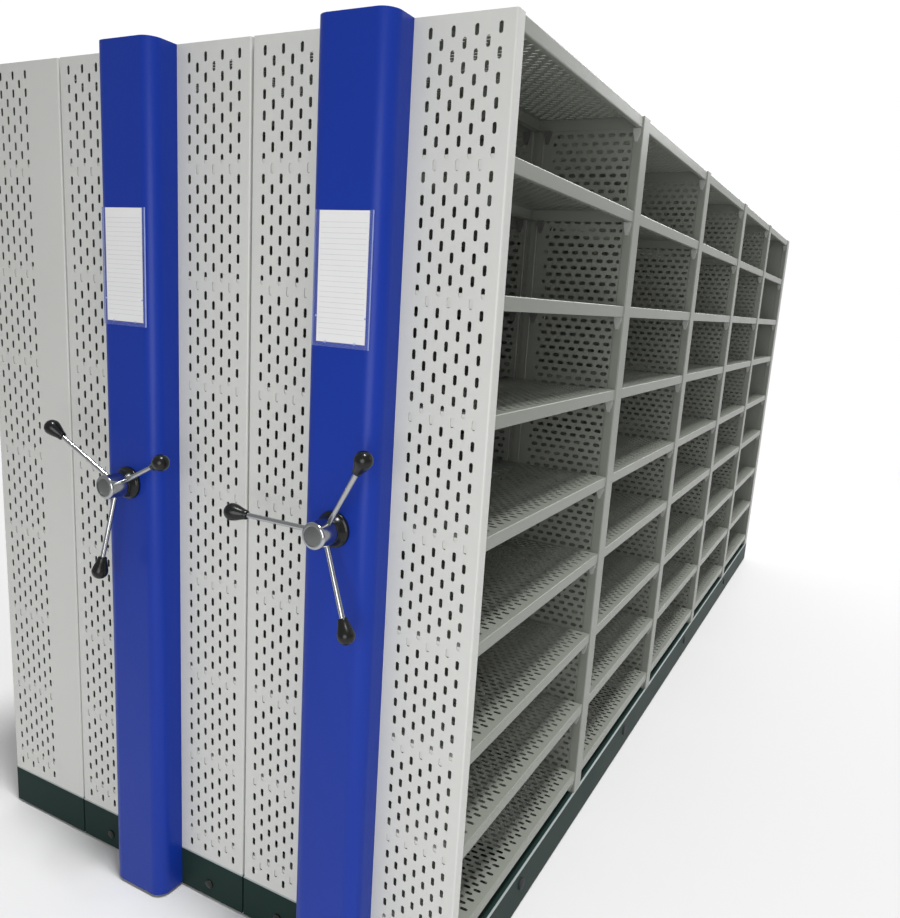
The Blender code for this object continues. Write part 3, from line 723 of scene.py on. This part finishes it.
def clips_shape(across, start, tops, both_ends):
    """Brackets under the trays of a bay, at these places across it and at its far end or both ends."""
    shape = Shape()
    ends = [(-POST_FACE / 2 - SEAT_GAP, -1)] + ([(start, 1)] if both_ends else [])
    for top in tops:
        for x in across:
            for y, out in ends:
                clip(shape, x, y, top - SHELF_LIP - SEAT_GAP, out)
    return shape


def bay_meshes(unit, racks, start, height, tops, first, last):
    """The meshes that make up a bay, by the name of the piece, each with its material and colour slot."""
    outer = RACK_DEPTH * racks / 2 - CLIP_INSET
    inner = CENTRE_POST / 2 + CLIP_FROM_CENTRE
    sides = (1, -1)
    shelves = bay_shape(racks, start, height, tops, first, last)
    hung = tops + [height - TOP_DROP]
    meshes = {
        # The shelves wear the darkened grey, painted shade inside the racks
        "shelves": (shelves.mesh(f"{unit}_shelves", FOLD_SMOOTH, BEND_FACE), shaded_rack_paint, "grey_paint"),
        "outer_clips": (clips_shape([outer * side for side in sides], start, hung, not first)
                        .mesh(f"{unit}_outer_clips"), clip_paint, "grey_paint"),
    }
    if first:
        flanges = panel_flanges(racks, start, tops).mesh(f"{unit}_flanges")
        meshes["panel_flanges"] = (flanges, grey_paint, "grey_paint")
    if racks > 1:
        # The inner clips are darker than the outer ones: painted shade by the centre post
        meshes["inner_clips"] = (clips_shape([inner * side for side in sides], start, hung, not first)
                                 .mesh(f"{unit}_inner_clips"), shaded_zinc, "dark_steel")
    return meshes


def base_node(unit):
    return "static_plinth" if unit == "static" else f"{unit}_base_frame"


def build_bays(unit):
    racks = 1 if unit == "static" else 2
    base_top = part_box(base_node(unit))[1].z
    made = {}
    for number in BAYS:
        low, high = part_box(f"{unit}_bay_{number}")
        foot = Vector(((low.x + high.x) / 2, high.y - POST_FACE / 2, low.z))
        ends = (number == 1, number == len(BAYS))
        if ends not in made:
            tops = [base_top - BASE_HEIGHT + top - low.z for top in shelf_tops()]
            made[ends] = bay_meshes(unit, racks, low.y - foot.y, high.z - low.z, tops, *ends)
        for kind, (mesh, material, slot) in made[ends].items():
            stands_for = [f"{unit}_bay_{number}"] if kind == "shelves" else []
            piece(f"{unit}_bay_{number}_{kind}", mesh, material, BODIES[unit], moved(*foot),
                  stands_for)


# Bases

def base_edge_shape(low, high):
    """A rolled edge round the top of a base, just proud of it, its pale paint a painted highlight."""
    shape = Shape()
    section = filleted([(-EDGE_PROUD, -EDGE_SIZE, 0), (-EDGE_PROUD, EDGE_PROUD, EDGE_SIZE / 2),
                        (EDGE_SIZE, EDGE_PROUD, 0), (EDGE_SIZE, -EDGE_SIZE, 0)], EDGE_STEPS)
    points = []
    for sx, sy in ((-1, -1), (1, -1), (1, 1), (-1, 1)):
        for d, z in section:
            x = low.x + d if sx < 0 else high.x - d
            y = low.y + d if sy < 0 else high.y - d
            points.append((x, y, high.z + z))
    count = len(section)
    faces = []
    for corner in range(4):
        after = (corner + 1) % 4
        here = corner * count
        there = after * count
        for n in range(count):
            turn = (n + 1) % count
            faces.append((here + n, there + n, there + turn, here + turn))
    return shape.add(points, faces)


def disc(radius, height, matrix):
    """A low round button with a soft edge, standing along its own Z."""
    soft = min(radius, height) * DISC_EDGE
    cut = soft * DISC_CORNER
    profile = [(0, 0), (radius, 0), (radius, height - soft), (radius - cut, height - cut),
               (radius - soft, height), (0, height)]
    return lathe(profile, DISC_STEPS, matrix)


def build_base(unit):
    node = base_node(unit)
    paint = frame["nodes"][node].data.materials
    paint.clear()
    paint.append(base_paint)
    low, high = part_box(node)
    # The rolled edge is painted pale, a painted highlight along the base's top
    edge = base_edge_shape(low, high).mesh(f"{unit}_base_edge", FOLD_SMOOTH)
    piece(f"{unit}_base_edge", edge, edge_highlight_paint, BODIES[unit])
    buffers = Shape()
    buffer_z = high.z - BASE_HEIGHT + BUFFER_HEIGHT
    for along in BUFFER_PLACES:
        facing = axes((0, 1, 0), (0, 0, 1), (1, 0, 0), (high.x, low.y + along, buffer_z))
        buffers.join(disc(BUFFER_RADIUS, BUFFER_THICKNESS, facing))
    piece(f"{unit}_buffers", buffers.mesh(f"{unit}_buffers", BUTTON_SMOOTH), rubber, BODIES[unit])
    if unit == "static":
        return
    plugs = Shape()
    for axle in ("drive", "idle"):
        wheel_low, wheel_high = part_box(f"{unit}_{axle}_wheelset")
        middle = (wheel_low + wheel_high) / 2
        for out, y in ((-1, low.y), (1, high.y)):
            facing = axes((-out, 0, 0), (0, 0, 1), (0, out, 0), (middle.x, y, middle.z))
            plugs.join(disc(PLUG_RADIUS, PLUG_THICKNESS, facing))
    piece(f"{unit}_plugs", plugs.mesh(f"{unit}_plugs", BUTTON_SMOOTH), black_plastic, BODIES[unit])


# Drive cover and index card

def cover_shape(low, high):
    """A folded cover with round front corners, open at the back and below."""
    shape = Shape()

    def plan(wall):
        corner = COVER_CORNER - wall
        return [(low.x + wall, high.y, 0), (low.x + wall, low.y + wall, corner),
                (high.x - wall, low.y + wall, corner), (high.x - wall, high.y, 0)]

    outer = filleted(plan(0), COVER_STEPS)
    inner = filleted(plan(SHEET), COVER_STEPS)
    prism(shape, outer + inner[::-1], low.z, high.z - SHEET)
    prism(shape, outer, high.z - SHEET, high.z)
    return shape


def build_cover(unit):
    body = BODIES[unit]
    low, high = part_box(f"{unit}_drive_cover")
    cover = cover_shape(low, high).mesh(f"{unit}_cover", COVER_SMOOTH, BEND_FACE)
    piece(f"{unit}_cover", cover, blue_paint, body, stands_for=[f"{unit}_drive_cover"])


def build_card(unit):
    """The card in its clear holder, with its rules, and the holder's tabs and its edges, drawn pale as a
    painted highlight.
    """
    body = BODIES[unit]
    low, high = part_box(f"{unit}_card_holder")
    card_low = (low.x + HOLDER_SIDE, high.y - CARD_FRONT, low.z + HOLDER_SIDE)
    card_high = (high.x - HOLDER_SIDE, high.y - CARD_BACK, high.z - CARD_TOP)
    card = Shape()
    box(card, card_low, card_high)
    piece(f"{unit}_index_card", card.mesh(f"{unit}_card"), paper, body)
    rules = Shape()
    for n in range(RULE_COUNT):
        z = card_high[2] - RULE_FIRST - n * RULE_PITCH
        box(rules, (card_low[0] + RULE_INSET, card_low[1] - RULE_PROUD, z),
            (card_high[0] - RULE_INSET, card_low[1], z + RULE_WIDTH))
    piece(f"{unit}_card_rules", rules.mesh(f"{unit}_rules"), ink, body)
    front = high.y - HOLDER_DEPTH
    holder = Shape()
    inner = HOLDER_EDGE
    box(holder, (low.x + inner, front, low.z), (card_low[0], high.y, high.z))
    box(holder, (card_high[0], front, low.z), (high.x - inner, high.y, high.z))
    box(holder, (card_low[0], front, low.z), (card_high[0], high.y, card_low[2]))
    piece(f"{unit}_holder", holder.mesh(f"{unit}_holder"), clear_plastic, body,
          stands_for=[f"{unit}_card_holder"])
    # The holder's edges are a painted highlight; the tabs share their plastic
    edges = Shape()
    for x in (low.x, high.x - HOLDER_EDGE):
        box(edges, (x, front, low.z), (x + HOLDER_EDGE, high.y, high.z))
    width = card_high[0] - card_low[0]
    height = card_high[2] - card_low[2]
    spots = [(x, card_low[2] + TAB_SHARES[0] * height) for x in (card_low[0], card_high[0])]
    spots += [(card_low[0] + share * width, card_low[2]) for share in TAB_SHARES]
    for x, z in spots:
        box(edges, (x - TAB_SIZE / 2, front - HOLDER_EDGE, z - TAB_SIZE / 2),
            (x + TAB_SIZE / 2, front, z + TAB_SIZE / 2))
    piece(f"{unit}_holder_edges", edges.mesh(f"{unit}_edges"), tab_and_highlight_plastic, body)


# Handle

def arc(centre_r, centre_h, radius, start, end, steps):
    """Points of a rounded edge in a profile, by angle in degrees from the outward direction."""
    angles = [math.radians(start + (end - start) * n / steps) for n in range(steps + 1)]
    return [(centre_r + radius * math.cos(a), centre_h + radius * math.sin(a)) for a in angles]


def boss_profile(height):
    """A flange that lies on the cover, and a nose that narrows to the hub."""
    edge = HANDLE_EDGE
    flange = arc(BOSS_RADIUS - edge, BOSS_FLANGE - edge, edge, 0, 90, HANDLE_EDGE_STEPS)
    nose = arc(BOSS_NOSE - edge, height - edge, edge, 0, 90, HANDLE_EDGE_STEPS)
    waist = (BOSS_WAIST, BOSS_FLANGE + edge)
    return [(HANDLE_BORE, 0), (BOSS_RADIUS, 0), *flange, waist, *nose, (HANDLE_BORE, height)]


def hub_profile(length):
    """A barrel with round ends and a shallow seat for its cap."""
    seat = length - CAP_SINK
    back = arc(HUB_RADIUS - HUB_BACK_EDGE, HUB_BACK_EDGE, HUB_BACK_EDGE, -90, 0, HANDLE_EDGE_STEPS)
    front = arc(HUB_RADIUS - HUB_FRONT_EDGE, length - HUB_FRONT_EDGE, HUB_FRONT_EDGE, 0, 90,
                HUB_FRONT_STEPS)
    return [(HANDLE_BORE, 0), *back, *front, (HUB_CAP, length), (HUB_CAP, seat), (0, seat)]


def knob_profile():
    """A pear: a round end of the knob's radius, drawn in smoothly to the neck."""
    centre = KNOB_LENGTH - KNOB_RADIUS
    points = [(0, 0), (KNOB_NECK - KNOB_EDGE, 0), (KNOB_NECK, KNOB_EDGE)]
    for n in range(1, KNOB_NECK_STEPS):
        t = n / KNOB_NECK_STEPS
        swell = (t + 2 * t * t * (3 - 2 * t)) / 3
        radius = KNOB_NECK + (KNOB_RADIUS - KNOB_NECK) * swell
        points.append((radius, KNOB_EDGE + (centre - KNOB_EDGE) * t))
    points += arc(0, centre, KNOB_RADIUS, 0, 90, KNOB_END_STEPS)
    points[-1] = (0, KNOB_LENGTH)
    return points


def rod_frame(unit, number, axis):
    """The line of a rod: Z along it from where the rods meet on the handle's axis, leaning forward."""
    low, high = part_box(f"{unit}_handle_rod_{number}")
    middle = (low + high) / 2
    away = middle - axis
    root = Vector((axis.x, middle.y + math.hypot(away.x, away.z) * math.tan(ROD_LEAN), axis.z))
    away.y = 0
    along = away.normalized() * math.cos(ROD_LEAN) - Vector((0, math.sin(ROD_LEAN), 0))
    side = along.cross((0, 1, 0)).normalized()
    return axes(side, along.cross(side), along, root)


def build_handle(unit):
    body = f"{unit}_handle"
    low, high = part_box(f"{unit}_handle_boss")
    middle = (low + high) / 2
    facing = axes((1, 0, 0), (0, 0, 1), (0, -1, 0), (middle.x, high.y, middle.z))
    boss = lathe(boss_profile(high.y - low.y), HUB_STEPS, facing).mesh(f"{unit}_boss", HANDLE_SMOOTH)
    piece(f"{unit}_boss", boss, black_plastic, BODIES[unit],
          stands_for=[f"{unit}_handle_boss"])
    low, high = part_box(f"{unit}_handle_hub")
    axis = (low + high) / 2
    facing = axes((1, 0, 0), (0, 0, 1), (0, -1, 0), (axis.x, high.y, axis.z))
    length = high.y - low.y
    hub = lathe(hub_profile(length), HUB_STEPS, facing)
    cap = disc(HUB_CAP - CAP_RIM, CAP_SINK - CAP_RIM, facing @ moved(0, 0, length - CAP_SINK))
    piece(f"{unit}_hub", hub.mesh(f"{unit}_hub", HANDLE_SMOOTH), chrome, body,
          stands_for=[f"{unit}_handle_hub"])
    piece(f"{unit}_hub_cap", cap.mesh(f"{unit}_cap", HANDLE_SMOOTH), cap_metal, body)
    for number in RODS:
        line = rod_frame(unit, number, axis)
        profile = [(0, ROD_START), (ROD_RADIUS, ROD_START), (ROD_RADIUS, ROD_END), (0, ROD_END)]
        rod = lathe(profile, ROD_STEPS, line)
        piece(f"{unit}_rod_{number}", rod.mesh(f"{unit}_rod", HANDLE_SMOOTH), chrome, body,
              stands_for=[f"{unit}_handle_rod_{number}"])
        knob = lathe(knob_profile(), KNOB_STEPS, line @ moved(0, 0, KNOB_START))
        piece(f"{unit}_knob_{number}_grip", knob.mesh(f"{unit}_knob", KNOB_SMOOTH), black_plastic, body,
              stands_for=[f"{unit}_knob_{number}"])


# Camera, light and floor

def build_camera():
    corner = Vector(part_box("right_front_panel")[1])
    corner.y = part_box("right_front_panel")[0].y
    corner.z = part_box("right_base_frame")[0].z
    right = Vector(CAMERA_RIGHT).normalized()
    ahead = Vector(CAMERA_AHEAD).normalized()
    camera = bpy.data.objects.new("camera", bpy.data.cameras.new("camera"))
    bpy.context.scene.collection.objects.link(camera)
    camera.matrix_world = axes(right, right.cross(ahead), -ahead, corner + Vector(CAMERA_PLACE))
    camera.data.sensor_width = SENSOR_WIDTH
    camera.data.lens = FOCAL_PIXELS * SENSOR_WIDTH / IMAGE_LONG_SIDE
    camera.data.shift_x = (IMAGE_CENTRE[0] - PRINCIPAL_POINT[0]) / IMAGE_LONG_SIDE
    camera.data.shift_y = (PRINCIPAL_POINT[1] - IMAGE_CENTRE[1]) / IMAGE_LONG_SIDE
    camera.data.clip_end = CLIP_END
    bpy.context.scene.camera = camera


def lamp(name, kind, place, target, power):
    light = bpy.data.lights.new(name, kind)
    light.energy = power
    made = bpy.data.objects.new(name, light)
    bpy.context.scene.collection.objects.link(made)
    made.location = place
    made.rotation_euler = (Vector(target) - Vector(place)).to_track_quat("-Z", "Y").to_euler()
    made.visible_camera = False
    return light


def disc_lamp(name, place, target, power, size):
    light = lamp(name, "AREA", place, target, power)
    light.shape = "DISK"
    light.size = size


def build_lights():
    """A soft light overhead, a key at the front, a rim behind and a lamp over the open aisle."""
    overhead = lamp("overhead", "SUN", OVERHEAD_FROM, (0, 0, 0), OVERHEAD_STRENGTH)
    overhead.angle = OVERHEAD_SPREAD
    disc_lamp("key", KEY_PLACE, KEY_TARGET, KEY_POWER, KEY_SIZE)
    disc_lamp("rim", RIM_PLACE, RIM_TARGET, RIM_POWER, RIM_SIZE)
    disc_lamp("aisle", AISLE_PLACE, AISLE_TARGET, AISLE_POWER, AISLE_SIZE)


def towards(nodes, links, directions, heading):
    """How far each direction of the sky points along a heading."""
    product = nodes.new("ShaderNodeVectorMath")
    product.operation = "DOT_PRODUCT"
    product.inputs[1].default_value = Vector(heading).normalized()
    links.new(directions, product.inputs[0])
    return product.outputs["Value"]


def build_world():
    """A studio sky: white behind the far end, dimmer at the front."""
    world = bpy.data.worlds.new("studio")
    world.use_nodes = True
    nodes = world.node_tree.nodes
    links = world.node_tree.links
    sky = nodes.new("ShaderNodeTexCoord").outputs["Generated"]
    behind = towards(nodes, links, sky, SKY_HEADING)
    white = ramp(nodes, links, behind, *SKY_TURN, SKY_FRONT, SKY_BACK)
    links.new(white, nodes["Background"].inputs["Strength"])
    nodes["Background"].inputs["Color"].default_value = (1.0, 1.0, 1.0, 1)
    bpy.context.scene.world = world
    bpy.context.scene.view_settings.view_transform = "Standard"


def build_floor():
    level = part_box("track_rail_1")[1].z + FLOOR_OVER_RAIL
    around = ((-1, -1), (1, -1), (1, 1), (-1, 1))
    corners = [(x * FLOOR_REACH, y * FLOOR_REACH, level) for x, y in around]
    mesh = Shape().add(corners, [(0, 1, 2, 3)]).mesh("floor")
    mesh.materials.append(floor_paint)
    floor = bpy.data.objects.new("floor", mesh)
    bpy.context.scene.collection.objects.link(floor)


build_camera()
build_world()
build_floor()
build_lights()
for unit in BODIES:
    build_base(unit)
    build_panels(unit)
    build_bays(unit)
for unit in CARRIAGES:
    build_cover(unit)
    build_card(unit)
    build_handle(unit)

bpy.context.view_layer.update()
